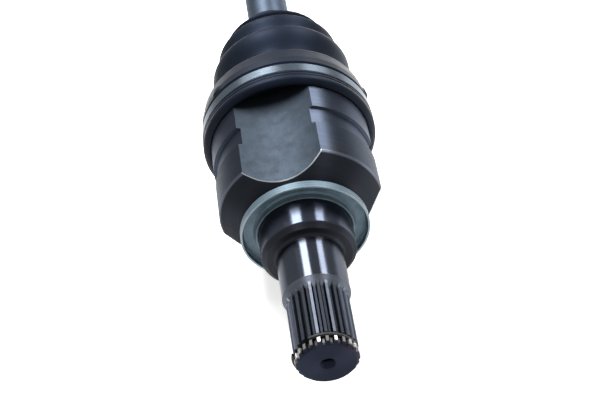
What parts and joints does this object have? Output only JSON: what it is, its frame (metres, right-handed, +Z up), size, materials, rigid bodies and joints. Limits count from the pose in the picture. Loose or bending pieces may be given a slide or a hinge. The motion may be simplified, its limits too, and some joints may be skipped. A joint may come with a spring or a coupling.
{
  "type": "drive shaft",
  "caption": "Front half shaft with a plunging tripod joint, rubber boots, a solid bar and a fixed ball joint with its splined stub axle.",
  "frame": {"origin": "on the shaft's axis, midway along the oil-seal journal", "axes": "+X along the shaft from the gearbox stub towards the wheel, +Z up with one hollow of the tripod housing facing it"},
  "size_m": [0.596, 0.0876, 0.0876],
  "materials": {
    "housing_steel": "turned and hardened, satin blue-grey",
    "plated_sheet": "zinc-plated pressed sheet",
    "spring_steel": "black spring steel",
    "boot_rubber": "moulded, soft sheen",
    "clamp_band": "bright stainless band",
    "hardened_steel": "ground and hardened",
    "bearing_steel": "polished",
    "bar_steel": "turned, satin"
  },
  "bodies": {
    "inner_housing": {"inner_housing": "housing_steel", "dust_deflector": "plated_sheet", "stub_circlip": "spring_steel", "inner_boot": "boot_rubber", "inner_large_clamp": "clamp_band"},
    "low_roller": {"roller_low": "bearing_steel", "needles_low": "bearing_steel"},
    "bar": {"bar": "bar_steel", "tripod_spider": "hardened_steel", "spider_snap_ring": "spring_steel", "needle_washers": "hardened_steel", "trunnion_snap_rings": "spring_steel", "inner_small_clamp": "clamp_band", "outer_small_clamp": "clamp_band", "inner_race": "hardened_steel", "race_snap_ring": "spring_steel"},
    "left_roller": {"roller_left": "bearing_steel", "needles_left": "bearing_steel"},
    "right_roller": {"roller_right": "bearing_steel", "needles_right": "bearing_steel"},
    "cage": {"ball_cage": "hardened_steel", "ball_1": "bearing_steel", "ball_4": "bearing_steel"},
    "ball_2": {"ball_2": "bearing_steel"},
    "ball_3": {"ball_3": "bearing_steel"},
    "ball_5": {"ball_5": "bearing_steel"},
    "ball_6": {"ball_6": "bearing_steel"},
    "wheel_end": {"outer_housing": "housing_steel", "outer_boot": "boot_rubber", "outer_large_clamp": "clamp_band"}
  },
  "joints": [
    {"name": "plunge", "type": "slide", "parent": "inner_housing", "child": "low_roller", "axis": [1, 0, 0], "range_m": [-0.015, 0.015], "deforming": ["inner_boot"]},
    {"name": "inner_bend", "type": "hinge", "parent": "low_roller", "child": "bar", "pos_m": [0.0613, 0, 0], "axis": [0, 0, 1], "range_deg": [-20, 20], "deforming": ["inner_boot"]},
    {"name": "left_roller_spin", "type": "hinge", "parent": "bar", "child": "left_roller", "pos_m": [0.0613, 0, 0], "axis": [0, 0.866, 0.5], "continuous": true},
    {"name": "right_roller_spin", "type": "hinge", "parent": "bar", "child": "right_roller", "pos_m": [0.0613, 0, 0], "axis": [0, -0.866, 0.5], "continuous": true},
    {"name": "cage_bend", "type": "hinge", "parent": "bar", "child": "cage", "pos_m": [0.4113, 0, 0], "axis": [0, 0, 1], "range_deg": [-23, 23], "deforming": ["outer_boot"]},
    {"name": "outer_bend", "type": "hinge", "parent": "cage", "child": "wheel_end", "pos_m": [0.4113, 0, 0], "axis": [0, 0, 1], "range_deg": [-23, 23], "deforming": ["outer_boot"]},
    {"name": "ball_2_lift", "type": "slide", "parent": "cage", "child": "ball_2", "axis": [0, -0.8747, 0.4847], "range_m": [-0.0014, 0.0014]},
    {"name": "ball_3_lift", "type": "slide", "parent": "cage", "child": "ball_3", "axis": [0, -0.8747, -0.4847], "range_m": [-0.0014, 0.0014]},
    {"name": "ball_5_lift", "type": "slide", "parent": "cage", "child": "ball_5", "axis": [0, 0.8747, -0.4847], "range_m": [-0.0014, 0.0014]},
    {"name": "ball_6_lift", "type": "slide", "parent": "cage", "child": "ball_6", "axis": [0, 0.8747, 0.4847], "range_m": [-0.0014, 0.0014]}
  ],
  "couplings": [
    {"joint": "cage_bend", "follows": "outer_bend", "ratio": 1},
    {"joint": "ball_2_lift", "follows": "outer_bend", "m_per_rad": 0.0029804},
    {"joint": "ball_3_lift", "follows": "outer_bend", "m_per_rad": 0.0029804},
    {"joint": "ball_5_lift", "follows": "outer_bend", "m_per_rad": -0.0029804},
    {"joint": "ball_6_lift", "follows": "outer_bend", "m_per_rad": -0.0029804}
  ]
}
